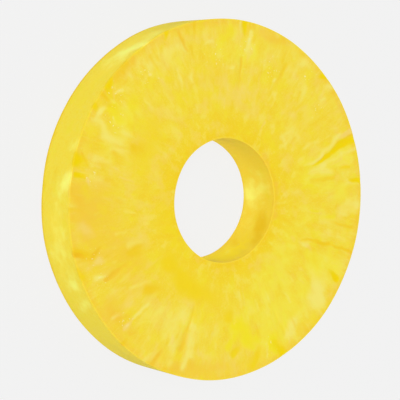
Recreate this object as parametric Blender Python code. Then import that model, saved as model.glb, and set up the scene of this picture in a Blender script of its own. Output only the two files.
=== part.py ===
# A ring of ripe pineapple: one slice across the peeled fruit with its core punched out.
# It lies flat on its underside. The origin is the middle of the hole at the underside,
# and +Z runs up through the hole. Metres throughout.

import math

import bmesh
import bpy

MM = 0.001

# Driving sizes.
OUTER_DIAMETER = 84 * MM
HOLE_DIAMETER = 29 * MM
THICKNESS = 12 * MM

# The knife leaves crisp edges, and the corer's are a little softer.
RIM_ROUND = 0.4 * MM
HOLE_ROUND = 0.5 * MM
ROUND_SEGMENTS = 2

# How finely the ring is faceted.
TURN_STEPS = 180
FACE_BANDS = 8
WALL_BANDS = 2

# The peeled outline isn't a perfect circle: (waves round the ring, height, phase in degrees).
OUTLINE_WAVES = (
    (2, 0.03 * MM, 35),
    (3, 0.05 * MM, 69),
    (9, 0.04 * MM, 10),
    (14, 0.02 * MM, 140),
)
# The cored wall wavers as the corer turned on its way through.
HOLE_WAVES = ((2, 0.05 * MM, 120), (3, 0.04 * MM, 20), (7, 0.02 * MM, 60))

# Furrows in the upper face, where the fruitlets meet. Each runs along a ray from the hole's axis:
# (direction in degrees, inner end and outer end as shares of the outer radius, width, depth).
# One that reaches the outer edge notches it.
FURROWS = (
    (15, 0.62, 0.84, 1.6 * MM, 0.12 * MM),
    (25, 0.62, 1.05, 2.2 * MM, 0.24 * MM),
    (52, 0.94, 1.05, 1.8 * MM, 0.14 * MM),
    (68, 0.70, 0.88, 1.6 * MM, 0.12 * MM),
    (89, 0.80, 1.05, 1.8 * MM, 0.16 * MM),
    (118, 0.66, 0.96, 1.6 * MM, 0.14 * MM),
    (148, 0.88, 1.05, 2.2 * MM, 0.20 * MM),
    (175, 0.88, 1.05, 2.0 * MM, 0.22 * MM),
    (201, 0.90, 1.05, 1.8 * MM, 0.18 * MM),
    (213, 0.68, 0.90, 1.6 * MM, 0.16 * MM),
    (257, 0.60, 0.90, 2.0 * MM, 0.20 * MM),
    (282, 0.80, 0.92, 1.6 * MM, 0.16 * MM),
    (303, 0.70, 1.05, 2.0 * MM, 0.18 * MM),
    (345, 0.60, 1.05, 1.4 * MM, 0.16 * MM),
    (356, 0.85, 0.99, 1.4 * MM, 0.10 * MM),
)
FURROW_END_FADE = 0.08  # share of the outer radius over which a furrow runs out

# Look of the moist flesh.
FLESH_COLOUR = (0.890, 0.680, 0.060, 1.0)
FLESH_ROUGHNESS = 0.38

OUTER_RADIUS = OUTER_DIAMETER / 2
HOLE_RADIUS = HOLE_DIAMETER / 2


def smooth_step(low, high, value):
    share = min(max((value - low) / (high - low), 0.0), 1.0)
    return share * share * (3 - 2 * share)


def corner(radius, height, size, start_angle):
    """Points of a quarter turn of an edge round, whose centre is at (radius, height)."""
    points = []
    for step in range(ROUND_SEGMENTS + 1):
        angle = math.radians(start_angle + 90 * step / ROUND_SEGMENTS)
        points.append((radius + size * math.cos(angle), height + size * math.sin(angle)))
    return points


def between(first, last, bands):
    """The points that part the line from first to last into bands, without its two ends."""
    return [
        tuple(a + (b - a) * step / bands for a, b in zip(first, last))
        for step in range(1, bands)
    ]


def section():
    """The ring's cut section as (radius, height) points, once round from the outer wall's foot."""
    foot = corner(OUTER_RADIUS - RIM_ROUND, RIM_ROUND, RIM_ROUND, 270)
    rim = corner(OUTER_RADIUS - RIM_ROUND, THICKNESS - RIM_ROUND, RIM_ROUND, 0)
    lip = corner(HOLE_RADIUS + HOLE_ROUND, THICKNESS - HOLE_ROUND, HOLE_ROUND, 90)
    heel = corner(HOLE_RADIUS + HOLE_ROUND, HOLE_ROUND, HOLE_ROUND, 180)
    return (
        foot
        + between(foot[-1], rim[0], WALL_BANDS)
        + rim
        + between(rim[-1], lip[0], FACE_BANDS)
        + lip
        + between(lip[-1], heel[0], WALL_BANDS)
        + heel
    )


def wave_sum(waves, angle):
    return sum(
        height * math.cos(count * angle + math.radians(phase))
        for count, height, phase in waves
    )


def furrow_depth(angle, radius):
    """How far the upper face lies below its plane at this place."""
    share = radius / OUTER_RADIUS
    deepest = 0.0
    for direction, inner, outer, width, depth in FURROWS:
        turn = math.remainder(angle - math.radians(direction), math.tau)
        aside = abs(math.sin(turn)) * radius if math.cos(turn) > 0 else math.inf
        if aside >= width:
            continue
        across = 0.5 * (1 + math.cos(math.pi * aside / width))
        along = smooth_step(inner, inner + FURROW_END_FADE, share) * (
            1 - smooth_step(outer - FURROW_END_FADE, outer, share)
        )
        deepest = max(deepest, depth * across * along)
    return deepest


def shape_vertex(vertex):
    """Moves a vertex of the plain turned ring to where the real flesh lies."""
    radius = math.hypot(vertex.co.x, vertex.co.y)
    angle = math.atan2(vertex.co.y, vertex.co.x)
    height = vertex.co.z
    inwards = (OUTER_RADIUS - radius) / (OUTER_RADIUS - HOLE_RADIUS)
    radius += (1 - inwards) * wave_sum(OUTLINE_WAVES, angle)
    radius += inwards * wave_sum(HOLE_WAVES, angle)
    above_middle = smooth_step(THICKNESS / 2, THICKNESS, height)
    height -= above_middle * furrow_depth(angle, radius)
    vertex.co = (radius * math.cos(angle), radius * math.sin(angle), height)


def flesh_material():
    material = bpy.data.materials.new("pineapple_flesh")
    material.use_nodes = True
    shader = material.node_tree.nodes["Principled BSDF"]
    shader.inputs["Base Color"].default_value = FLESH_COLOUR
    shader.inputs["Roughness"].default_value = FLESH_ROUGHNESS
    shader.inputs["Metallic"].default_value = 0.0
    material.diffuse_color = FLESH_COLOUR
    return material


def build_ring():
    shape = bmesh.new()
    points = [shape.verts.new((radius, 0, height)) for radius, height in section()]
    edges = [
        shape.edges.new((point, points[(place + 1) % len(points)]))
        for place, point in enumerate(points)
    ]
    bmesh.ops.spin(
        shape,
        geom=points + edges,
        cent=(0, 0, 0),
        axis=(0, 0, 1),
        angle=math.tau,
        steps=TURN_STEPS,
        use_merge=True,
    )
    bmesh.ops.recalc_face_normals(shape, faces=shape.faces[:])
    for vertex in shape.verts:
        shape_vertex(vertex)

    mesh = bpy.data.meshes.new("pineapple_ring")
    shape.to_mesh(mesh)
    shape.free()
    mesh.shade_smooth()
    mesh.set_sharp_from_angle(angle=math.radians(50))
    mesh.materials.append(flesh_material())
    ring = bpy.data.objects.new("pineapple_ring", mesh)
    bpy.context.scene.collection.objects.link(ring)
    return ring


def main():
    for leftover in list(bpy.data.objects):
        bpy.data.objects.remove(leftover, do_unlink=True)
    build_ring()


main()
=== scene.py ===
import math
import random

import bmesh
import bpy
import numpy as np
from mathutils import Matrix, Vector, noise


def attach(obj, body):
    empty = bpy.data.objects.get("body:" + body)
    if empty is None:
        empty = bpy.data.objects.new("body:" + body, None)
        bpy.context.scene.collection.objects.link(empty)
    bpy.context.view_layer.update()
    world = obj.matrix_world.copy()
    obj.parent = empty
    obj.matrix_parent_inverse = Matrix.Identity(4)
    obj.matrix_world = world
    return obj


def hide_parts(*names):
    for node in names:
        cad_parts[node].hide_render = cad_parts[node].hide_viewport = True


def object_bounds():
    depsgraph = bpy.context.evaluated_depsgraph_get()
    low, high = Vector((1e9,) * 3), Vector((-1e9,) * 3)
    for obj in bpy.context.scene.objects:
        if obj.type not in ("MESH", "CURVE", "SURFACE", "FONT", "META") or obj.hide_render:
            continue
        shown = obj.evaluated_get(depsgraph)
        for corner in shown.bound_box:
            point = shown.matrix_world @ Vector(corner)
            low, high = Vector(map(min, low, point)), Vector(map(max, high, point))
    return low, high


mm = 0.001
boxClearance = 0.015 * mm  # keeps the finer facets' outline inside the CAD's box

print("loading the frame")
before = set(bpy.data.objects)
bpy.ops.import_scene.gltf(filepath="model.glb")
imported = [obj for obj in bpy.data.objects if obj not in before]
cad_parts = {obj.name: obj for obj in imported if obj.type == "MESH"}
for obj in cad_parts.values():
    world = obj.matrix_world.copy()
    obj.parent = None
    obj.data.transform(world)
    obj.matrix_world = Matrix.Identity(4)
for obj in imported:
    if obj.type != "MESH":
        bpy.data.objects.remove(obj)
cadLow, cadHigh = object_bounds()
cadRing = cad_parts["pineapple_ring"]
outerRadius = (cadHigh.x - cadLow.x) / 2 - boxClearance
thickness = cadHigh.z - cadLow.z
holeRadius = min(math.hypot(v.co.x, v.co.y) for v in cadRing.data.vertices)


def toLinear(hexColour):
    channels = []
    for start in (0, 2, 4):
        value = int(hexColour[start:start + 2], 16) / 255
        channels.append(value / 12.92 if value <= 0.04045 else ((value + 0.055) / 1.055) ** 2.4)
    return (*channels, 1.0)


def addNode(tree, kind, settings=None, links=None):
    # settings are the node's own properties or its input sockets, links join an input to an output
    node = tree.nodes.new(kind)
    for name, value in (settings or {}).items():
        if hasattr(node, str(name)):
            setattr(node, name, value)
        else:
            node.inputs[name].default_value = value
    for name, output in (links or {}).items():
        tree.links.new(output, node.inputs[name])
    return node


def smoothStep(low, high, value):
    share = np.clip((value - low) / (high - low), 0, 1)
    return share * share * (3 - 2 * share)


ring = {
    "turnSteps": 720,              # facets round the ring, 0.37 mm each at the outer wall
    "upperRows": 80,               # rows of facets across each side of the cut section
    "underRows": 20,
    "outerWallRows": 12,
    "holeWallRows": 8,
    "rimRound": 0.05 * mm,         # the knife's crisp edge
    "holeRound": 0.07 * mm,        # the corer's edge is a little softer
    "roundSegments": 3,
    # (waves round the ring, height in mm, phase in degrees), as the CAD's outline has them
    "outlineWaves": [(2, 0.03, 35), (3, 0.05, 69), (9, 0.04, 10), (14, 0.02, 140)],
    "holeWaves": [(2, 0.05, 120), (3, 0.04, 20), (7, 0.02, 60)],
    "fibreSpacing": 1.3 * mm,      # between the fibre bundles where they meet the outer wall
    "fibreLength": 8 * mm,
    "fibreOctaves": 3,
    "fibreSlant": 0.4,             # mm that the bundles shift along themselves for each mm up
    "fibreRelief": 0.025 * mm,
    "reliefByHole": 0.35,          # the share of that relief beside the hole
    "reliefDepth": 0.25,           # the share of the thickness over which the relief dies away
    # from this share of the outer radius outwards the seams get shallower, so the outline stays
    # clean, and at the rim they have lost this share of their depth
    "rimStart": 0.96,
    "rimLoss": 0.6,
    "wander": 0.7 * mm,            # how far the marks stray from their plain outlines
    "wanderLength": 4 * mm,
    "wanderOctaves": 2,
    "wanderOnWalls": 0.4,          # marks on the walls stray by this share of it
    "strokeFade": 0.45,            # the share of its strength that a stroke loses by its end
    "crispness": 2,                # the power in a mark's falloff
    "seamCrispness": 3,
    "markReach": 0.5 * mm,         # how deep a mark on a cut face goes before it fades
    "wallSkin": 0.25 * mm,         # how deep a wall's own tone goes
    "edgeWidth": 0.35 * mm,        # the colour is deeper along the cut edges
    "underTurn": 9,                # the seams lean this many degrees on their way down
    "underStrength": 0.85,         # the underside's marks are that much as strong
    "weldDistance": 0.001 * mm,
}

# Marks on the upper face. Each is a soft stroke: its tone, where it starts and ends as
# (degrees round from +X, share of the outer radius), its half width at the two ends in mm, its
# strength, and how deep it sinks into the face in mm.
faceMarks = [
    # how ripe the flesh is over wide stretches: sunny is greener, peach is redder
    ("sunny", (9, 0.84), (20, 0.62), 4.0, 4.5, 0.58, 0),
    ("sunny", (24, 0.90), (24, 0.60), 3.6, 3.6, 0.55, 0),
    ("sunny", (45, 0.76), (54, 0.88), 2.8, 2.8, 0.45, 0),
    ("sunny", (85, 0.84), (102, 0.82), 3.2, 3.0, 0.48, 0),
    ("sunny", (118, 0.86), (136, 0.86), 2.6, 2.6, 0.30, 0),
    ("sunny", (150, 0.80), (170, 0.84), 3.6, 3.4, 0.50, 0),
    ("sunny", (240, 0.76), (262, 0.76), 4.5, 4.0, 0.40, 0),
    ("sunny", (280, 0.72), (302, 0.66), 4.0, 4.5, 0.45, 0),
    ("sunny", (300, 0.86), (344, 0.84), 5.5, 5.0, 0.60, 0),
    ("sunny", (308, 0.58), (356, 0.56), 6.0, 5.0, 0.56, 0),
    ("sunny", (338, 0.92), (336, 0.76), 3.2, 3.0, 0.50, 0),
    ("sunny", (120, 0.56), (150, 0.54), 4.0, 4.0, 0.28, 0),
    ("peach", (38, 0.74), (64, 0.68), 5.0, 5.0, 0.32, 0),
    ("peach", (102, 0.70), (126, 0.70), 3.6, 3.6, 0.42, 0),
    ("amber", (158, 0.65), (168, 0.66), 3.0, 3.0, 0.38, 0),
    ("peach", (184, 0.82), (226, 0.80), 6.0, 6.0, 0.52, 0),
    ("peach", (182, 0.95), (206, 0.90), 2.6, 3.6, 0.55, 0),
    ("peach", (209, 0.68), (220, 0.62), 3.0, 3.6, 0.45, 0),
    ("peach", (223, 0.93), (238, 0.93), 2.8, 2.2, 0.62, 0),
    ("cream", (227, 0.82), (230, 0.80), 2.0, 2.0, 0.42, 0),
    ("peach", (36, 0.985), (47, 0.985), 1.2, 1.2, 0.42, 0),
    ("peach", (73, 0.97), (84, 0.95), 1.8, 1.8, 0.60, 0),
    ("peach", (99, 0.985), (113, 0.985), 1.4, 1.4, 0.42, 0),
    ("peach", (136, 0.985), (146, 0.975), 1.4, 1.4, 0.62, 0),
    ("peach", (256, 0.97), (280, 0.94), 2.4, 2.8, 0.62, 0),
    ("gold", (228, 0.50), (246, 0.52), 2.8, 2.8, 0.88, 0),
    ("gold", (246, 0.53), (272, 0.56), 2.8, 2.8, 0.82, 0),
    ("gold", (186, 0.42), (226, 0.44), 2.6, 2.6, 0.45, 0),
    ("gold", (146, 0.64), (182, 0.58), 4.0, 4.0, 0.48, 0),
    ("cream", (80, 0.62), (100, 0.63), 3.0, 2.4, 0.42, 0),
    ("pale", (242, 0.74), (262, 0.76), 5.0, 5.0, 0.40, 0),
    ("pale", (46, 0.60), (56, 0.58), 2.4, 2.4, 0.42, 0),
    ("pale", (150, 0.80), (170, 0.82), 3.4, 3.2, 0.30, 0),
    ("peach", (48, 0.36), (20, 0.365), 1.0, 1.0, 0.50, 0),
    ("peach", (20, 0.365), (-8, 0.365), 1.0, 1.0, 0.50, 0),
    ("peach", (-8, 0.365), (-36, 0.36), 1.0, 1.0, 0.50, 0),
    ("pale", (38, 0.72), (64, 0.68), 4.5, 4.5, 0.24, 0),
    ("pale", (102, 0.70), (126, 0.70), 3.6, 3.6, 0.26, 0),
    ("cream", (92, 0.56), (110, 0.56), 2.4, 2.2, 0.42, 0),

    # round the ring from +X
    ("pale", (3.0, 0.96), (0.5, 0.84), 2.2, 1.8, 0.72, 0),
    ("seam", (11.4, 1.02), (12.8, 0.91), 0.80, 0.55, 1.0, 0.15),
    ("pale", (11.5, 0.90), (15.0, 0.86), 1.4, 1.4, 0.32, 0),
    ("gold", (17.2, 0.93), (18.6, 0.84), 0.50, 0.45, 0.80, 0.04),
    ("amber", (14.2, 0.80), (15.6, 0.62), 0.90, 0.70, 0.62, 0.09),
    ("pale", (17.8, 0.79), (19.8, 0.65), 1.2, 1.2, 0.52, 0),
    ("pale", (21.8, 0.74), (20.0, 0.63), 1.0, 1.0, 0.75, 0),
    ("pale", (23.2, 1.01), (22.6, 0.88), 0.75, 0.75, 0.75, 0),
    ("pale", (22.6, 0.88), (21.8, 0.72), 0.70, 0.60, 0.50, 0),
    ("seam", (26.5, 1.03), (26.1, 0.90), 1.25, 0.95, 1.0, 0.18),
    ("seam", (26.1, 0.91), (24.8, 0.76), 0.95, 0.62, 1.0, 0.15),
    ("seam", (24.9, 0.79), (23.4, 0.65), 0.62, 0.35, 1.0, 0.10),
    ("ember", (28.0, 0.99), (27.1, 0.88), 0.35, 0.32, 0.60, 0),
    ("ember", (27.1, 0.88), (25.6, 0.76), 0.32, 0.30, 0.60, 0),
    ("ember", (25.6, 0.76), (24.0, 0.65), 0.30, 0.28, 0.55, 0),
    ("cream", (29.2, 1.01), (28.6, 0.90), 0.75, 0.60, 1.0, 0),
    ("pale", (29.2, 0.90), (27.2, 0.74), 1.05, 0.85, 0.80, 0),
    ("pale", (26.2, 0.74), (24.2, 0.60), 0.65, 0.50, 0.75, 0),
    ("olive", (44.5, 1.01), (45.5, 0.95), 0.9, 0.7, 0.55, 0),
    ("seam", (51.2, 1.0), (52.8, 0.955), 1.15, 0.9, 1.0, 0.10),
    ("pale", (47.4, 0.99), (48.6, 0.95), 1.0, 0.8, 0.65, 0),
    ("cream", (51.0, 0.69), (57.0, 0.64), 1.8, 1.4, 0.45, 0),
    ("pale", (41.0, 0.52), (48.0, 0.54), 0.6, 0.5, 0.50, 0),
    ("pale", (61.5, 0.94), (65.5, 0.84), 1.8, 1.5, 0.62, 0),
    ("amber", (67.4, 0.86), (68.4, 0.76), 1.0, 0.9, 0.62, 0.10),
    ("olive", (68.4, 0.80), (69.2, 0.72), 0.6, 0.5, 0.55, 0.06),
    ("pale", (70.0, 0.745), (71.2, 0.74), 0.45, 0.40, 0.80, 0),
    ("lemon", (74.6, 0.80), (76.2, 0.79), 0.55, 0.45, 0.60, 0),
    ("pale", (83.0, 0.90), (86.0, 0.82), 1.2, 1.0, 0.28, 0),
    ("pale", (86.6, 0.94), (87.6, 0.84), 0.65, 0.55, 0.95, 0),
    ("pale", (86.0, 0.745), (88.0, 0.74), 0.40, 0.35, 0.60, 0),
    ("seam", (88.8, 1.01), (89.2, 0.92), 1.05, 0.80, 1.0, 0.13),
    ("olive", (89.2, 0.80), (88.6, 0.62), 0.55, 0.50, 0.65, 0.10),
    ("pale", (91.2, 1.00), (91.2, 0.90), 0.55, 0.45, 0.65, 0),
    ("lemon", (95.0, 0.93), (101.0, 0.86), 1.8, 1.6, 0.55, 0),
    ("pale", (103.0, 0.875), (107.0, 0.87), 0.50, 0.45, 0.65, 0),
    ("pale", (93.0, 0.745), (96.0, 0.74), 0.45, 0.40, 0.60, 0),
    ("amber", (109.0, 1.01), (110.8, 0.92), 0.80, 0.50, 0.75, 0.06),
    ("olive", (115.6, 0.97), (114.2, 0.86), 0.65, 0.55, 0.80, 0.10),
    ("amber", (112.6, 0.88), (113.0, 0.78), 0.55, 0.50, 0.55, 0.05),
    ("seam", (120.0, 1.02), (121.6, 0.96), 0.85, 0.65, 1.0, 0.12),
    ("pale", (117.0, 0.90), (123.0, 0.90), 1.2, 1.4, 0.50, 0),
    ("pale", (123.0, 0.90), (126.5, 0.82), 1.5, 1.3, 0.65, 0),
    ("pale", (131.0, 0.89), (134.0, 0.84), 1.3, 1.0, 0.60, 0),
    ("pale", (136.0, 0.86), (138.0, 0.84), 0.8, 0.6, 0.55, 0),
    ("amber", (139.0, 0.99), (143.5, 0.96), 1.4, 1.4, 0.72, 0),
    ("olive", (142.0, 0.92), (144.6, 0.93), 0.5, 0.4, 0.50, 0),
    ("seam", (146.2, 1.01), (148.4, 0.95), 1.6, 1.25, 1.0, 0.15),
    ("pale", (145.2, 0.905), (147.6, 0.935), 0.45, 0.40, 0.85, 0),
    ("cream", (147.6, 0.935), (149.0, 0.92), 0.45, 0.40, 0.60, 0),
    ("amber", (150.2, 1.00), (150.6, 0.94), 0.80, 0.60, 0.80, 0.08),
    ("pale", (150.6, 0.92), (156.0, 0.95), 0.75, 0.70, 0.90, 0),
    ("pale", (156.0, 0.95), (158.6, 0.96), 0.80, 0.70, 0.85, 0),
    ("seam", (155.0, 1.01), (156.0, 0.975), 1.1, 0.8, 1.0, 0.10),
    ("lemon", (145.0, 0.82), (151.0, 0.77), 1.8, 1.6, 0.60, 0),
    ("lemon", (152.0, 0.90), (155.0, 0.83), 1.7, 1.6, 0.70, 0),
    ("pale", (154.6, 0.855), (156.0, 0.84), 0.55, 0.50, 0.60, 0),
    ("pale", (158.6, 0.92), (161.6, 0.86), 1.2, 1.2, 0.65, 0),
    ("pale", (161.6, 0.86), (161.0, 0.76), 1.2, 0.8, 0.65, 0),
    ("amber", (160.0, 0.66), (163.0, 0.63), 1.6, 1.4, 0.50, 0),
    ("olive", (165.6, 0.98), (166.2, 0.90), 0.50, 0.40, 0.45, 0.05),
    ("amber", (166.0, 0.78), (168.0, 0.72), 0.9, 0.8, 0.55, 0.05),
    ("pale", (170.4, 0.88), (170.8, 0.80), 0.9, 0.7, 0.65, 0),
    ("seam", (172.4, 1.02), (173.2, 0.94), 1.9, 1.5, 1.0, 0.17),
    ("ember", (170.4, 0.97), (173.4, 0.92), 0.55, 0.55, 0.60, 0.05),
    ("seam", (177.3, 0.975), (177.4, 0.925), 0.80, 0.70, 1.0, 0.12),
    ("pale", (174.6, 0.86), (176.4, 0.885), 0.50, 0.45, 0.45, 0),
    ("cream", (177.8, 0.905), (179.6, 0.88), 0.60, 0.50, 0.85, 0),
    ("amber", (176.0, 0.78), (179.0, 0.70), 1.2, 1.0, 0.52, 0.04),
    ("olive", (182.6, 0.99), (185.6, 0.93), 1.3, 1.2, 0.62, 0),
    ("olive", (190.0, 0.98), (191.0, 0.93), 0.9, 0.8, 0.45, 0),
    ("cream", (193.0, 0.92), (196.4, 0.86), 1.8, 1.6, 0.60, 0),
    ("ember", (201.0, 1.01), (202.8, 0.95), 1.0, 0.8, 0.85, 0.13),
    ("amber", (200.6, 0.99), (203.6, 0.90), 1.1, 1.0, 1.0, 0.07),
    ("ember", (203.6, 0.90), (201.0, 0.82), 0.7, 0.6, 0.60, 0.07),
    ("cream", (205.4, 0.88), (207.2, 0.83), 0.9, 0.8, 0.90, 0),
    ("gold", (207.0, 1.0), (209.8, 0.975), 1.4, 1.2, 1.0, 0.12),
    ("pale", (211.2, 0.92), (212.0, 0.87), 0.75, 0.65, 0.80, 0),
    ("olive", (213.4, 0.87), (212.4, 0.70), 0.60, 0.75, 1.0, 0.12),
    ("amber", (208.6, 0.66), (211.0, 0.58), 1.7, 1.5, 0.70, 0.05),
    ("pale", (205.6, 0.655), (207.4, 0.595), 0.95, 0.85, 0.58, 0),
    ("pale", (218.0, 0.87), (221.0, 0.82), 1.0, 1.0, 0.35, 0),
    ("pale", (221.6, 0.76), (227.0, 0.64), 0.7, 0.6, 0.45, 0),
    ("olive", (228.0, 0.92), (230.6, 0.84), 0.7, 0.7, 0.60, 0),
    ("cream", (231.6, 0.93), (232.2, 0.87), 0.65, 0.60, 1.0, 0),
    ("pale", (232.2, 0.85), (233.2, 0.75), 0.60, 0.50, 0.80, 0),
    ("amber", (234.6, 1.02), (235.0, 0.97), 1.0, 0.8, 0.9, 0.08),
    ("olive", (235.0, 0.93), (237.0, 0.89), 0.8, 0.7, 0.60, 0),
    ("amber", (228.6, 0.69), (235.0, 0.63), 1.7, 1.6, 0.80, 0),
    ("pale", (250.0, 0.74), (253.6, 0.62), 1.8, 1.4, 0.45, 0),
    ("olive", (248.2, 1.01), (249.8, 0.90), 0.80, 0.60, 0.95, 0.09),
    ("pale", (259.6, 0.95), (259.8, 0.72), 1.0, 0.9, 0.75, 0),
    ("pale", (253.6, 0.95), (253.6, 0.84), 1.4, 1.2, 0.60, 0),
    ("pale", (261.5, 0.88), (262.0, 0.74), 1.0, 0.9, 0.45, 0),
    ("olive", (256.4, 0.86), (256.8, 0.74), 1.0, 0.9, 0.75, 0.15),
    ("amber", (257.2, 0.75), (256.6, 0.60), 0.50, 0.40, 0.60, 0.10),
    ("lemon", (279.0, 0.82), (282.4, 0.77), 1.2, 1.0, 0.70, 0),
    ("gold", (281.2, 0.865), (283.6, 0.845), 1.2, 1.1, 1.0, 0.10),
    ("lemon", (283.0, 0.70), (290.0, 0.77), 2.0, 2.3, 0.84, 0),
    ("lemon", (287.0, 0.80), (291.0, 0.87), 2.2, 2.0, 0.70, 0),
    ("gold", (289.0, 0.96), (292.6, 0.89), 1.7, 1.5, 0.95, 0.06),
    ("gold", (279.0, 0.65), (281.4, 0.61), 1.4, 1.2, 0.85, 0),
    ("lemon", (293.0, 0.82), (296.0, 0.78), 1.1, 1.0, 0.50, 0),
    ("pale", (295.6, 0.95), (297.0, 0.87), 0.50, 0.45, 0.60, 0),
    ("pale", (293.0, 0.66), (297.0, 0.62), 1.4, 1.2, 0.40, 0),
    ("lemon", (299.0, 0.92), (302.4, 0.84), 1.8, 1.6, 0.90, 0),
    ("seam", (302.8, 1.03), (301.2, 0.91), 1.7, 1.2, 1.0, 0.15),
    ("pale", (302.0, 0.71), (304.0, 0.62), 1.3, 1.1, 0.38, 0),
    ("gold", (305.6, 0.88), (306.0, 0.75), 0.7, 0.6, 0.45, 0.07),
    ("cream", (306.0, 0.955), (308.0, 0.94), 0.50, 0.45, 0.50, 0),
    ("pale", (308.0, 0.90), (314.0, 0.86), 2.0, 1.8, 0.78, 0),
    ("pale", (325.0, 0.90), (331.0, 0.87), 2.9, 2.6, 0.74, 0),
    ("pale", (327.0, 0.86), (331.4, 0.78), 2.2, 1.7, 0.78, 0),
    ("pale", (336.0, 0.86), (343.0, 0.78), 2.0, 1.8, 0.28, 0),
    ("seam", (336.6, 0.945), (336.8, 0.895), 0.90, 0.75, 1.0, 0.10),
    ("olive", (333.6, 0.68), (337.0, 0.66), 0.6, 0.5, 0.40, 0),
    ("cream", (340.4, 0.68), (341.2, 0.64), 0.60, 0.55, 0.60, 0),
    ("pale", (341.0, 0.65), (342.0, 0.59), 0.70, 0.60, 0.60, 0),
    ("ember", (346.9, 1.01), (346.8, 0.96), 0.75, 0.60, 0.75, 0.09),
    ("amber", (346.8, 0.96), (346.2, 0.80), 0.55, 0.50, 0.85, 0.11),
    ("amber", (346.2, 0.80), (343.4, 0.60), 0.50, 0.45, 0.85, 0.11),
    ("pale", (350.0, 0.84), (352.0, 0.76), 1.6, 1.4, 0.22, 0),
    ("amber", (355.6, 0.95), (355.8, 0.82), 0.75, 0.60, 0.75, 0.07),
    # painted glints: specks of highlight painted into the colour
    ("glint", (154.6, 0.865), (155.4, 0.845), 0.30, 0.25, 0.40, 0),
    ("glint", (145.8, 0.915), (147.2, 0.93), 0.25, 0.25, 0.50, 0),
    ("glint", (178.0, 0.90), (178.8, 0.89), 0.25, 0.25, 0.30, 0),
    ("glint", (231.8, 0.915), (232.0, 0.89), 0.28, 0.25, 0.45, 0),
    ("glint", (211.4, 0.905), (211.8, 0.885), 0.25, 0.25, 0.45, 0),
    ("glint", (87.0, 0.90), (87.2, 0.87), 0.30, 0.25, 0.50, 0),
    ("glint", (296.4, 0.93), (297.2, 0.90), 0.22, 0.22, 0.30, 0),
    ("glint", (134.0, 0.85), (134.6, 0.845), 0.50, 0.40, 0.50, 0),
]

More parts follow.
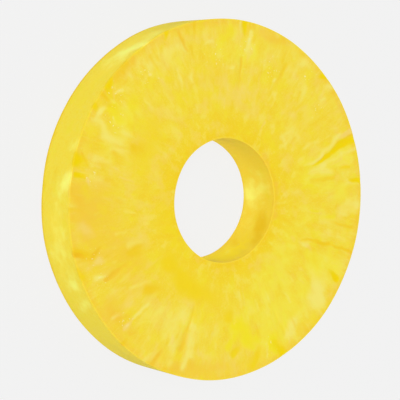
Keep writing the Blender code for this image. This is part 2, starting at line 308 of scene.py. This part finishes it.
# Marks on the two walls: wall, tone, (degrees, share of the thickness up), the same for its far
# end, half width in mm and strength.
wallMarks = [
    # painted light on the stretches of the outer wall that face the lamp, painted shade on those
    # that turn away from it
    ("outer", "light", (124, 0.50), (150, 0.50), 6.0, 0.6),
    ("outer", "light", (192, 0.50), (218, 0.50), 5.0, 0.5),
    ("outer", "paintedShade", (110, 0.50), (96, 0.50), 9.0, 0.52),
    ("outer", "paintedShade", (248, 0.50), (264, 0.50), 9.0, 0.52),
    # the palest strokes below are painted highlights, the others are the wall's own colour
    ("outer", "paintedHighlight", (135.6, 0.80), (138.0, 0.25), 2.6, 0.32),
    ("outer", "amber", (118, 0.02), (252, 0.02), 0.7, 0.9),
    ("outer", "amber", (252, 0.02), (478, 0.02), 0.7, 0.6),
    ("outer", "paintedHighlight", (129.0, 0.95), (133.6, 0.50), 1.5, 0.95),
    ("outer", "paintedHighlight", (122, 0.75), (138, 0.55), 3.6, 0.42),
    ("outer", "paintedHighlight", (167.8, 0.98), (169.6, 0.74), 1.6, 0.5),
    ("outer", "paintedHighlight", (177.6, 1.00), (181.4, 0.68), 1.6, 0.85),
    ("outer", "amber", (176, 0.42), (186, 0.28), 1.6, 0.35),
    ("outer", "paintedHighlight", (184, 0.70), (216, 0.60), 4.6, 0.32),
    ("outer", "paintedHighlight", (200, 0.50), (202, 0.20), 2.0, 0.35),
    ("outer", "paintedHighlight", (210.6, 0.74), (212.4, 0.42), 1.6, 0.55),
    ("outer", "paintedHighlight", (217.0, 0.85), (223.0, 0.30), 1.4, 0.42),
    ("outer", "lemon", (147, 0.60), (164, 0.45), 3.0, 0.3),
    ("outer", "paintedHighlight", (264, 0.85), (272, 0.35), 3.0, 0.45),
    ("outer", "amber", (286, 0.70), (290, 0.35), 2.8, 0.25),
    ("outer", "paintedHighlight", (303, 1.00), (309, 0.62), 1.8, 0.6),
    ("outer", "paintedHighlight", (305, 0.70), (322, 0.55), 4.0, 0.3),
    ("outer", "lemon", (322, 0.50), (332, 0.25), 3.0, 0.4),
    ("outer", "paintedHighlight", (340, 0.60), (356, 0.75), 3.6, 0.35),
    ("outer", "paintedHighlight", (347.6, 1.00), (349.0, 0.72), 1.2, 0.45),
    ("outer", "amber", (4, 0.60), (8, 0.30), 2.8, 0.25),
    ("outer", "paintedHighlight", (20, 0.90), (27, 0.40), 2.2, 0.5),
    ("outer", "paintedHighlight", (26, 0.45), (40, 0.60), 4.2, 0.3),
    ("outer", "lemon", (46, 0.65), (52, 0.35), 3.2, 0.4),
    ("outer", "paintedHighlight", (64, 1.00), (68, 0.76), 1.6, 0.6),
    ("outer", "paintedHighlight", (60, 0.55), (76, 0.50), 4.4, 0.3),
    ("outer", "amber", (84, 0.50), (92, 0.40), 2.8, 0.25),
    # the hole's wall: painted light and painted shade by how it faces the lamp, and painted
    # highlights
    ("hole", "clear", (-72, 0.50), (-42, 0.50), 5.0, 0.9),
    ("hole", "paintedShade", (84, 0.45), (76, 0.45), 3.4, 0.6),
    ("hole", "paintedShade", (-84, 0.60), (-78, 0.60), 3.2, 0.6),
    ("hole", "paintedHighlight", (9, 0.16), (15, 0.20), 2.0, 0.5),
    ("hole", "paintedHighlight", (8, 0.35), (24, 0.50), 4.6, 0.55),
    ("hole", "paintedHighlight", (14, 0.78), (16, 0.62), 1.6, 0.36),
    # painted light along the top of the hole's wall
    ("hole", "light", (-66, 0.92), (72, 0.92), 1.5, 0.38),
    ("hole", "amber", (-34, 0.88), (-12, 0.66), 2.4, 0.78),
    ("hole", "amber", (-22, 0.74), (-10, 0.66), 1.8, 0.6),
    ("hole", "amber", (-44, 0.30), (-34, 0.12), 1.6, 0.5),
    ("hole", "paintedHighlight", (-26, 0.42), (-14, 0.15), 2.0, 0.3),
    ("hole", "paintedHighlight", (-62, 0.45), (-48, 0.25), 1.5, 0.25),
    ("hole", "amber", (120, 0.80), (145, 0.70), 1.8, 0.5),
    ("hole", "paintedHighlight", (165, 0.45), (192, 0.35), 3.0, 0.4),
    ("hole", "amber", (215, 0.85), (240, 0.75), 1.6, 0.5),
]

# Painted glints: where the flesh is torn, small shining droplets and torn ends of fibre catch the
# light, and specks of painted highlight gather there: (degrees, share of the outer radius, spread
# in mm).
sparkles = [
    (148, 0.92, 1.8), (155, 0.85, 2.0), (176, 0.89, 1.8), (205, 0.88, 1.8), (212, 0.90, 1.8),
    (231, 0.90, 2.0), (297, 0.90, 1.8), (58, 0.91, 2.4), (87, 0.86, 1.8), (74, 0.80, 2.0),
    (134, 0.86, 2.2), (102, 0.80, 2.2), (44, 0.84, 1.8),
]

# The flesh between the placed marks is full of small wisps drawn out along the fibres.
wisps = {
    "count": 360,
    "seed": 11,
    "tones": [("pale", 0.30), ("cream", 0.24), ("amber", 0.24), ("lemon", 0.22)],
    "from": 0.44,                  # shares of the outer radius between which they start
    "to": 0.99,
    "outwardBias": 0.8,            # under 1 puts more of them towards the rim
    "length": (1.0, 5.0),          # mm
    "halfWidth": (0.4, 1.1),       # mm at the rim, and half as much at the hole's axis
    "taper": 0.7,                  # an inner end's width as a share of the outer end's
    "strength": (0.15, 0.48),
    "lean": 14,                    # degrees off the radius
}

# The tones of the marks, in the order in which they cover each other; among them are painted light,
# painted shade and painted highlights for the walls. Each has its own mask in the mesh, as have the
# walls, the cut edges, the painted glints and the places where the painted specks gather.
tones = [
    "light", "clear", "paintedShade", "sunny", "peach", "pale", "cream", "lemon", "gold", "amber", "olive",
    "ember", "seam", "paintedHighlight",
]
maskNames = [*tones, "peel", "core", "edge", "glint", "sparkle"]


def buildSection(shape):
    # a rectangle from the hole to the outer wall, with its corners rounded and its sides divided
    low = [shape.verts.new((radius, 0, 0)) for radius in (holeRadius, outerRadius)]
    high = [shape.verts.new((radius, 0, thickness)) for radius in (outerRadius, holeRadius)]
    shape.faces.new(low + high)
    for corners, size in (((low[1], high[0]), "rimRound"), ((low[0], high[1]), "holeRound")):
        bmesh.ops.bevel(
            shape, geom=list(corners), offset=ring[size], affect="VERTICES",
            segments=ring["roundSegments"], profile=0.5, material=-1,
        )
    middle = (holeRadius + outerRadius) / 2
    sides = {}
    for edge in shape.edges:
        if edge.calc_length() < thickness / 2:
            continue  # part of a rounded corner
        centre = (edge.verts[0].co + edge.verts[1].co) / 2
        if abs(centre.x - middle) < mm:
            sides["upperRows" if centre.z > thickness / 2 else "underRows"] = edge
        else:
            sides["outerWallRows" if centre.x > middle else "holeWallRows"] = edge
    for rows, edge in sides.items():
        bmesh.ops.subdivide_edges(shape, edges=[edge], cuts=ring[rows] - 1)
    bmesh.ops.delete(shape, geom=shape.faces[:], context="FACES_ONLY")


def waveSum(waves, angle):
    return sum(
        height * mm * np.cos(count * angle + math.radians(phase)) for count, height, phase in waves
    )


def noiseAt(points, octaves):
    return np.array([noise.fractal(Vector(point), 1.0, 2.0, octaves) for point in points])


def fallOff(away, width, crispness=ring["crispness"]):
    return np.exp(-((away / width) ** crispness))


def strokeAt(across, up, start, end, widths, crispness=ring["crispness"]):
    # how strongly a soft stroke from start to end covers each point of a plane
    along = np.subtract(end, start)
    share = ((across - start[0]) * along[0] + (up - start[1]) * along[1]) / (along @ along)
    share = np.clip(share, 0, 1)
    away = np.hypot(across - start[0] - share * along[0], up - start[1] - share * along[1])
    width = widths[0] + share * (widths[1] - widths[0])
    return (1 - ring["strokeFade"] * share ** 2) * fallOff(away, width, crispness)


def polar(degrees, share):
    angle = math.radians(degrees)
    return (share * outerRadius * math.cos(angle), share * outerRadius * math.sin(angle))


def scatterWisps():
    # small strokes like those of faceMarks, strongest at their outer ends
    chance = random.Random(wisps["seed"])
    names = [tone for tone, share in wisps["tones"]]
    shares = [share for tone, share in wisps["tones"]]
    strokes = []
    for place in range(wisps["count"]):
        tone = chance.choices(names, shares)[0]
        degrees = chance.uniform(0, 360)
        outwards = chance.random() ** wisps["outwardBias"]
        inner = wisps["from"] + (wisps["to"] - wisps["from"]) * outwards
        length = chance.uniform(*wisps["length"]) * mm / outerRadius
        lean = math.radians(chance.uniform(-wisps["lean"], wisps["lean"]))
        swing = math.degrees(length * math.sin(lean) / inner)
        width = chance.uniform(*wisps["halfWidth"]) * (1 + inner) / 2
        strength = chance.uniform(*wisps["strength"])
        outer = (degrees + swing, inner + length * math.cos(lean))
        innerWidth = wisps["taper"] * width
        strokes.append((tone, outer, (degrees, inner), width, innerWidth, strength, 0))
    return strokes


def readPlaces(mesh):
    place = np.empty(len(mesh.vertices) * 3)
    mesh.vertices.foreach_get("co", place)
    return place.reshape(-1, 3)


def overlay(masks, tone, cover):
    masks[tone] = 1 - (1 - masks[tone]) * (1 - cover)


def faceSides(height):
    # the two cut faces: how far each one's marks are turned, and how strong they are at this height
    upper = fallOff(thickness - height, ring["markReach"])
    under = ring["underStrength"] * fallOff(height, ring["markReach"])
    return [(0, upper), (ring["underTurn"], under)]


def markFaces(masks, height, stray):
    # lays the placed marks and the wisps on both faces, and returns how deep the marks sink
    sunk = np.zeros(len(height))
    strokes = scatterWisps() + faceMarks
    for turn, near in faceSides(height):
        for tone, start, end, startWidth, endWidth, strength, depth in strokes:
            begin, finish = polar(start[0] + turn, start[1]), polar(end[0] + turn, end[1])
            widths = (startWidth * mm, endWidth * mm)
            crispness = ring["seamCrispness"] if tone == "seam" else ring["crispness"]
            cover = strokeAt(stray[0], stray[1], begin, finish, widths, crispness) * near
            overlay(masks, tone, strength * cover)
            sunk = np.maximum(sunk, depth * mm * cover)
    return sunk


def markWalls(masks, angle, radius, height, wander):
    for wall, tone, start, end, width, strength in wallMarks:
        wallRadius = outerRadius if wall == "outer" else holeRadius
        onWall = fallOff(radius - wallRadius, ring["wallSkin"])
        centre = math.radians((start[0] + end[0]) / 2)
        turned = (angle - centre + math.pi) % (2 * math.pi) - math.pi
        half = math.radians(end[0] - start[0]) / 2
        begin = (-half * wallRadius, start[1] * thickness)
        finish = (half * wallRadius, end[1] * thickness)
        across = turned * wallRadius + ring["wanderOnWalls"] * wander[0]
        up = height + ring["wanderOnWalls"] * wander[1]
        cover = strokeAt(across, up, begin, finish, (width * mm, width * mm)) * onWall
        overlay(masks, tone, strength * cover)


def markEdges(masks, radius, height):
    # the walls' own tones, and the deeper one along the four cut edges
    masks["peel"] = fallOff(outerRadius - radius, ring["wallSkin"])
    masks["core"] = fallOff(radius - holeRadius, ring["wallSkin"])
    for edgeRadius in (holeRadius, outerRadius):
        for edgeHeight in (0, thickness):
            away = np.hypot(radius - edgeRadius, height - edgeHeight)
            overlay(masks, "edge", fallOff(away, ring["edgeWidth"]))


# where the painted glints gather on both faces
def markPaintedGlints(masks, height, stray):
    for turn, near in faceSides(height):
        for degrees, outShare, spread in sparkles:
            x, y = polar(degrees + turn, outShare)
            away = np.hypot(stray[0] - x, stray[1] - y)
            overlay(masks, "sparkle", near * fallOff(away, spread * mm))


def shapeFlesh(mesh):
    place = readPlaces(mesh)
    radius = np.hypot(place[:, 0], place[:, 1])
    angle = np.arctan2(place[:, 1], place[:, 0])
    height = place[:, 2]
    direction = np.stack([np.cos(angle), np.sin(angle)], 1)

    # fibre bundles run out from the core, so their noise is stretched along the radius
    turns = outerRadius / ring["fibreSpacing"]
    lengthwise = (radius + ring["fibreSlant"] * height) / ring["fibreLength"]
    fibre = noiseAt(np.column_stack([direction * turns, lengthwise]), ring["fibreOctaves"])
    farAway = 31.7  # so that the marks stray independently in the two directions
    wander = []
    for shift in (0, farAway):
        astray = noiseAt(place / ring["wanderLength"] + shift, ring["wanderOctaves"])
        wander.append(ring["wander"] * astray)
    stray = [place[:, 0] + wander[0], place[:, 1] + wander[1]]

    masks = {name: np.zeros(len(height)) for name in maskNames}
    sunk = markFaces(masks, height, stray)
    markWalls(masks, angle, radius, height, wander)
    markEdges(masks, radius, height)
    markPaintedGlints(masks, height, stray)

    # the relief: fibres ripple the cut faces, more towards the rim, and the seams sink
    outwards = smoothStep(holeRadius, outerRadius, radius)
    rippleShare = ring["reliefByHole"] + (1 - ring["reliefByHole"]) * outwards
    ripple = ring["fibreRelief"] * rippleShare * np.clip((1 - fibre) / 2, 0, 1)
    nearRim = smoothStep(ring["rimStart"], 1.0, radius / outerRadius)
    relief = ripple + sunk * (1 - ring["rimLoss"] * nearRim)
    upShare = height / thickness
    nearUpper = smoothStep(1 - ring["reliefDepth"], 1.0, upShare)
    nearUnder = 1 - smoothStep(0.0, ring["reliefDepth"], upShare)
    newHeight = height - nearUpper * relief + nearUnder * relief
    inwards = np.clip((outerRadius - radius) / (outerRadius - holeRadius), 0, 1)
    newRadius = radius + (1 - inwards) * waveSum(ring["outlineWaves"], angle)
    newRadius += inwards * waveSum(ring["holeWaves"], angle)

    newPlace = np.column_stack([direction * newRadius[:, None], newHeight])
    mesh.vertices.foreach_set("co", newPlace.ravel())
    for name, values in masks.items():
        attribute = mesh.attributes.new(name, "FLOAT", "POINT")
        attribute.data.foreach_set("value", np.clip(values, 0, 1).astype(np.float32))
    mesh.update()


def buildFlesh():
    shape = bmesh.new()
    buildSection(shape)
    bmesh.ops.spin(
        shape, geom=shape.verts[:] + shape.edges[:], cent=(0, 0, 0), axis=(0, 0, 1),
        angle=2 * math.pi, steps=ring["turnSteps"], use_merge=True,
    )
    bmesh.ops.remove_doubles(shape, verts=shape.verts, dist=ring["weldDistance"])
    bmesh.ops.recalc_face_normals(shape, faces=shape.faces[:])
    mesh = bpy.data.meshes.new("pineappleFlesh")
    shape.to_mesh(mesh)
    shape.free()
    shapeFlesh(mesh)
    mesh.shade_smooth()
    flesh = bpy.data.objects.new("pineappleFlesh", mesh)
    bpy.context.scene.collection.objects.link(flesh)
    return flesh


fleshLook = {
    # from the hole to the rim, as (share of the way, colour)
    "flesh": [(0.0, "F2CD20"), (0.07, "F2D327"), (0.2, "F2D634"), (0.5, "F2D83E"),
              (0.93, "F2D842"), (0.98, "F2CF3C")],
    "peel": "F7DF41",              # the outer wall, where the rind was cut away
    "core": "F8DC40",              # the wall that the corer left
    "paintedHighlight": "FFFC78",            # painted highlights on the walls
    "light": "FFE444",             # painted light on the walls where the lamp falls on them
    "clear": "FFE82A",             # painted light on the hole's wall where the lamp falls on it
    "paintedShade": "E4CE40",              # painted shade on the walls where they turn away from the lamp
    "sunny": "F2E442",             # greener, less ripe flesh
    "peach": "F2C83A",             # redder, riper flesh
    "pale": "F3E46E",              # drier fibres
    "cream": "F3D468",             # drier and riper
    "lemon": "F2E024",             # juicy and less ripe
    "gold": "F2D41E",              # juicy flesh
    "amber": "F1CC20",             # juicy and riper
    "olive": "F2C832",             # shaded clefts between the fruitlets
    "ember": "F0BE1A",             # their ripest edges
    "seam": "F1D400",              # the clefts' wet bottoms
    "edge": "EFCA38",              # along the cut edges
    "glint": "F8F0AC",             # painted glints: wet specks that catch the light
    "edgeStrength": 0.25,
    "markBreak": 0.9,              # how much the soft patches break up the marks' outlines
    "markStart": 0.55,             # a broken mark shows from here
    "markFull": 1.35,              # and covers fully from here
    "glintFull": 1.25,
    "fibreSpacing": 0.8 * mm,      # single vessels where they meet the outer wall
    "fibreStretch": 0.22,
    "vesselsAppear": (0.1, 0.7),   # over these shares of the way from the hole to the rim
    "mottleSize": 2.8 * mm,        # soft short patches along the fibres
    "mottleStretch": 0.65,
    "cloudSize": 5 * mm,           # where the flesh holds more or less juice: low is juicier
    "cloudRange": (0.3, 0.7),
    "grainSize": 0.35 * mm,        # juice sacs
    "speckSize": 0.7 * mm,
    "speckStart": 0.66,            # a speck shows from here
    "speckFull": 0.72,             # and covers fully from here
    "noiseRoughness": 0.55,
    "fibreBump": 0.05 * mm,
    "grainBump": 0.03 * mm,
    "bumpStrength": 0.3,
    "roughness": (0.39, 0.53),     # at the juicy end of the clouds, and at the dry end
    "wallRoughness": 0.3,          # the two walls are that much rougher
    "gloss": 0.18,
    "ior": 1.35,                   # fruit juice, a little over water
    "translucency": 0.15,
    "scatter": 2.0 * mm,           # how far light gets inside
    "scatterShares": (1.0, 0.6, 0.15),    # of it for red, green and blue
}


def radialPattern(tree, outward, width, stretch):
    # noise drawn out along the radius: the lower the stretch, the longer for its width
    power = addNode(
        tree, "ShaderNodeMath", {"operation": "POWER", 1: stretch}, {0: outward["share"]}
    )
    reach = addNode(
        tree, "ShaderNodeMath", {"operation": "MULTIPLY", 1: outerRadius / width},
        {0: power.outputs[0]},
    )
    place = addNode(
        tree, "ShaderNodeVectorMath", {"operation": "SCALE"},
        {0: outward["direction"], "Scale": reach.outputs[0]},
    )
    upwards = addNode(
        tree, "ShaderNodeMath", {"operation": "DIVIDE", 1: width}, {0: outward["height"]}
    )
    pattern = addNode(
        tree, "ShaderNodeTexNoise",
        {"noise_dimensions": "4D", "Scale": 1.0, "Detail": 3.0,
         "Roughness": fleshLook["noiseRoughness"]},
        {"Vector": place.outputs[0], "W": upwards.outputs[0]},
    )
    return pattern.outputs[0]


def fleshPatterns(tree):
    # every pattern and mask that the colour and the surface are made of, by name
    look = fleshLook
    place = addNode(tree, "ShaderNodeTexCoord").outputs["Object"]
    parts = addNode(tree, "ShaderNodeSeparateXYZ", links={0: place})
    flat = addNode(
        tree, "ShaderNodeCombineXYZ", links={0: parts.outputs[0], 1: parts.outputs[1]}
    )
    radius = addNode(
        tree, "ShaderNodeVectorMath", {"operation": "LENGTH"}, {0: flat.outputs[0]}
    ).outputs["Value"]
    direction = addNode(
        tree, "ShaderNodeVectorMath", {"operation": "NORMALIZE"}, {0: flat.outputs[0]}
    )
    share = addNode(tree, "ShaderNodeMath", {"operation": "DIVIDE", 1: outerRadius}, {0: radius})
    outward = {
        "share": share.outputs[0],
        "direction": direction.outputs[0],
        "height": parts.outputs[2],
    }
    patterns = {
        "fibre": radialPattern(tree, outward, look["fibreSpacing"], look["fibreStretch"]),
        "mottle": radialPattern(tree, outward, look["mottleSize"], look["mottleStretch"]),
        "holeToRim": addNode(
            tree, "ShaderNodeMapRange",
            {"From Min": holeRadius, "From Max": outerRadius}, {"Value": radius},
        ).outputs[0],
    }
    for name, size, detail in (
        ("cloud", look["cloudSize"], 3.0),
        ("grain", look["grainSize"], 2.0),
        ("speck", look["speckSize"], 1.0),
    ):
        patterns[name] = addNode(
            tree, "ShaderNodeTexNoise",
            {"Scale": 1 / size, "Detail": detail, "Roughness": look["noiseRoughness"]},
            {"Vector": place},
        ).outputs[0]
    for name in maskNames:
        attribute = addNode(tree, "ShaderNodeAttribute", {"attribute_name": name})
        patterns[name] = attribute.outputs["Fac"]
    return patterns


def layTone(tree, colour, tone, source, start, full, strength):
    # covers the colour with a tone, from nowhere at the source's start to its strength at full
    amount = addNode(
        tree, "ShaderNodeMapRange",
        {"interpolation_type": "SMOOTHSTEP", "From Min": start, "From Max": full,
         "To Max": strength},
        {"Value": source},
    )
    mix = addNode(
        tree, "ShaderNodeMix", {"data_type": "RGBA", 7: toLinear(fleshLook[tone])},
        {0: amount.outputs[0], 6: colour},
    )
    return mix.outputs[2]


def fleshColour(tree, patterns):
    look = fleshLook
    # golden by the hole, then paler, and a little deeper again at the very rim
    base = addNode(tree, "ShaderNodeValToRGB", links={"Fac": patterns["holeToRim"]})
    ramp = base.color_ramp
    ramp.elements[0].color = toLinear(look["flesh"][0][1])
    ramp.elements[1].color = toLinear(look["flesh"][-1][1])
    ramp.elements[1].position = look["flesh"][-1][0]
    for position, hexColour in look["flesh"][1:-1]:
        ramp.elements.new(position).color = toLinear(hexColour)
    colour = base.outputs["Color"]

    # single vessels show more towards the rim, and not everywhere
    low, high = look["vesselsAppear"]
    rimward = addNode(
        tree, "ShaderNodeMapRange",
        {"interpolation_type": "SMOOTHSTEP", "From Min": low, "From Max": high},
        {"Value": patterns["holeToRim"]},
    )
    patchy = addNode(
        tree, "ShaderNodeMath", {"operation": "MULTIPLY"},
        {0: rimward.outputs[0], 1: patterns["cloud"]},
    )
    centred = addNode(
        tree, "ShaderNodeMath", {"operation": "SUBTRACT", 1: 0.5}, {0: patterns["fibre"]}
    )
    vessels = addNode(
        tree, "ShaderNodeMath", {"operation": "MULTIPLY"},
        {0: centred.outputs[0], 1: patchy.outputs[0]},
    ).outputs[0]

    # the natural unevenness and the two walls: tone, source, where it starts and is full, and how
    # strong it then is
    for tone, source, start, full, strength in (
        ("pale", patterns["mottle"], 0.50, 0.68, 0.42),
        ("amber", patterns["mottle"], 0.50, 0.32, 0.42),
        ("cream", patterns["cloud"], 0.52, 0.68, 0.4),
        ("peel", patterns["peel"], 0.0, 1.0, 1.0),
        ("core", patterns["core"], 0.0, 1.0, 1.0),
        ("pale", vessels, 0.01, 0.10, 0.25),
        ("amber", vessels, -0.01, -0.10, 0.25),
        ("pale", patterns["grain"], 0.52, 0.70, 0.18),
        ("amber", patterns["grain"], 0.48, 0.30, 0.18),
        ("lemon", patterns["cloud"], 0.48, 0.32, 0.4),
    ):
        colour = layTone(tree, colour, tone, source, start, full, strength)

    # the placed marks, whose outlines are broken up by the soft patches
    marks = [(tone, look["markFull"], 1.0) for tone in tones]
    marks.append(("glint", look["glintFull"], 1.0))
    marks.append(("edge", look["markFull"], look["edgeStrength"]))
    for tone, full, strength in marks:
        broken = addNode(
            tree, "ShaderNodeMath", {"operation": "MULTIPLY_ADD", 1: look["markBreak"]},
            {0: patterns["mottle"], 2: patterns[tone]},
        ).outputs[0]
        colour = layTone(tree, colour, tone, broken, look["markStart"], full, strength)

    # painted glints: torn ends of fibre and droplets catch the light as specks
    speck = addNode(
        tree, "ShaderNodeMapRange",
        {"interpolation_type": "SMOOTHSTEP", "From Min": look["speckStart"],
         "From Max": look["speckFull"]},
        {"Value": patterns["speck"]},
    )
    specks = addNode(
        tree, "ShaderNodeMath", {"operation": "MULTIPLY", "use_clamp": True},
        {0: speck.outputs[0], 1: patterns["sparkle"]},
    )
    mix = addNode(
        tree, "ShaderNodeMix", {"data_type": "RGBA", 7: toLinear(look["glint"])},
        {0: specks.outputs[0], 6: colour},
    )
    return mix.outputs[2]


def fleshRoughness(tree, patterns):
    low, high = fleshLook["cloudRange"]
    juicy, dry = fleshLook["roughness"]
    faces = addNode(
        tree, "ShaderNodeMapRange",
        {"From Min": low, "From Max": high, "To Min": juicy, "To Max": dry},
        {"Value": patterns["cloud"]},
    )
    walls = addNode(
        tree, "ShaderNodeMath", {"operation": "ADD"}, {0: patterns["peel"], 1: patterns["core"]}
    )
    rough = addNode(
        tree, "ShaderNodeMath", {"operation": "MULTIPLY_ADD", 1: fleshLook["wallRoughness"]},
        {0: walls.outputs[0], 2: faces.outputs[0]},
    )
    return rough.outputs[0]


def ripePineappleFlesh():
    # cut and wet: soft gloss, light scatters a couple of millimetres below the surface
    look = fleshLook
    material = bpy.data.materials.new("ripePineappleFlesh")
    material.use_nodes = True
    tree = material.node_tree
    tree.nodes.clear()
    patterns = fleshPatterns(tree)
    ripple = addNode(
        tree, "ShaderNodeBump", {"Strength": look["bumpStrength"], "Distance": look["fibreBump"]},
        {"Height": patterns["fibre"]},
    )
    pebble = addNode(
        tree, "ShaderNodeBump", {"Strength": look["bumpStrength"], "Distance": look["grainBump"]},
        {"Height": patterns["grain"], "Normal": ripple.outputs[0]},
    )
    shader = addNode(
        tree, "ShaderNodeBsdfPrincipled",
        {"IOR": look["ior"], "Specular IOR Level": look["gloss"],
         "Subsurface Weight": look["translucency"], "Subsurface Scale": look["scatter"],
         "Subsurface Radius": look["scatterShares"]},
        {"Base Color": fleshColour(tree, patterns), "Roughness": fleshRoughness(tree, patterns),
         "Normal": pebble.outputs[0]},
    )
    addNode(tree, "ShaderNodeOutputMaterial", links={"Surface": shader.outputs[0]})
    return material


print("turning the ring and shaping its flesh")
flesh = buildFlesh()
flesh.data.materials.append(ripePineappleFlesh())
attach(flesh, "root")
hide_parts("pineapple_ring")
print(len(flesh.data.polygons), "faces")


studio = {
    "tableSize": 4.0,              # metres, as the lamp's distance and size are
    "tableColour": "464646",
    "tableGlow": 0.825,            # the table is an evenly lit sheet of opal acrylic
    "tableRoughness": 0.7,
    "skyColour": "FFFFFF",
    "skyStrength": 0.6,
    "keyTurn": 174,                # degrees round from +X
    "keyHeight": 62,               # degrees up from the table
    "keyDistance": 4.0,
    "keySize": 2.4,
    "keyPower": 80.0,              # watts
}


def opalAcrylic():
    # back-lit white acrylic, which keeps shadows faint
    material = bpy.data.materials.new("opalAcrylic")
    material.use_nodes = True
    shader = material.node_tree.nodes["Principled BSDF"]
    shader.inputs["Base Color"].default_value = toLinear(studio["tableColour"])
    shader.inputs["Roughness"].default_value = studio["tableRoughness"]
    shader.inputs["Specular IOR Level"].default_value = 0.0
    shader.inputs["Emission Color"].default_value = (1, 1, 1, 1)
    shader.inputs["Emission Strength"].default_value = studio["tableGlow"]
    return material


def buildTable():
    shape = bmesh.new()
    bmesh.ops.create_grid(shape, x_segments=1, y_segments=1, size=studio["tableSize"] / 2)
    mesh = bpy.data.meshes.new("table")
    shape.to_mesh(mesh)
    shape.free()
    mesh.materials.append(opalAcrylic())
    table = bpy.data.objects.new("table", mesh)
    bpy.context.scene.collection.objects.link(table)


def addKeyLight():
    turn, up = math.radians(studio["keyTurn"]), math.radians(studio["keyHeight"])
    towards = Vector((math.cos(up) * math.cos(turn), math.cos(up) * math.sin(turn), math.sin(up)))
    lamp = bpy.data.lights.new("softbox", "AREA")
    lamp.shape = "DISK"
    lamp.size = studio["keySize"]
    lamp.energy = studio["keyPower"]
    light = bpy.data.objects.new("softbox", lamp)
    light.location = towards * studio["keyDistance"]
    light.rotation_mode = "QUATERNION"
    light.rotation_quaternion = towards.to_track_quat("Z", "Y")
    bpy.context.scene.collection.objects.link(light)


def lightSky():
    world = bpy.data.worlds.new("paleSky")
    world.use_nodes = True
    background = world.node_tree.nodes["Background"]
    background.inputs["Color"].default_value = toLinear(studio["skyColour"])
    background.inputs["Strength"].default_value = studio["skyStrength"]
    bpy.context.scene.world = world


cameraView = {
    "tilt": 35.83,                 # degrees between the view and the hole's axis
    "roll": 5.96,
    "lens": 129.2,                 # mm, as is the sensor's width
    "sensor": 36.0,
    "clip": (0.01, 20),            # metres
    # from the eye to the middle of the upper face, in outer radii: along the view, right and down
    "ahead": 7.935,
    "right": 0.1406,
    "down": 0.0038,
}


def placeCamera():
    tilt, roll = math.radians(cameraView["tilt"]), math.radians(cameraView["roll"])
    forward = Vector((math.sin(tilt), 0, -math.cos(tilt)))
    level = Vector((math.cos(tilt), 0, math.sin(tilt)))
    aside = Vector((0, 1, 0))
    right = level * math.cos(roll) + aside * math.sin(roll)
    up = aside * math.cos(roll) - level * math.sin(roll)
    steps = forward * cameraView["ahead"] + right * cameraView["right"] - up * cameraView["down"]
    eye = Vector((0, 0, thickness)) - steps * outerRadius
    lens = bpy.data.cameras.new("camera")
    lens.lens = cameraView["lens"]
    lens.sensor_width = cameraView["sensor"]
    lens.clip_start, lens.clip_end = cameraView["clip"]
    camera = bpy.data.objects.new("camera", lens)
    turned = Matrix((right, up, -forward)).transposed().to_4x4()
    camera.matrix_world = Matrix.Translation(eye) @ turned
    bpy.context.scene.collection.objects.link(camera)
    bpy.context.scene.camera = camera


print("setting the table, the light and the camera")
buildTable()
addKeyLight()
lightSky()
placeCamera()
settings = bpy.context.scene.view_settings
settings.view_transform = "Standard"
settings.look = "None"

print("done")
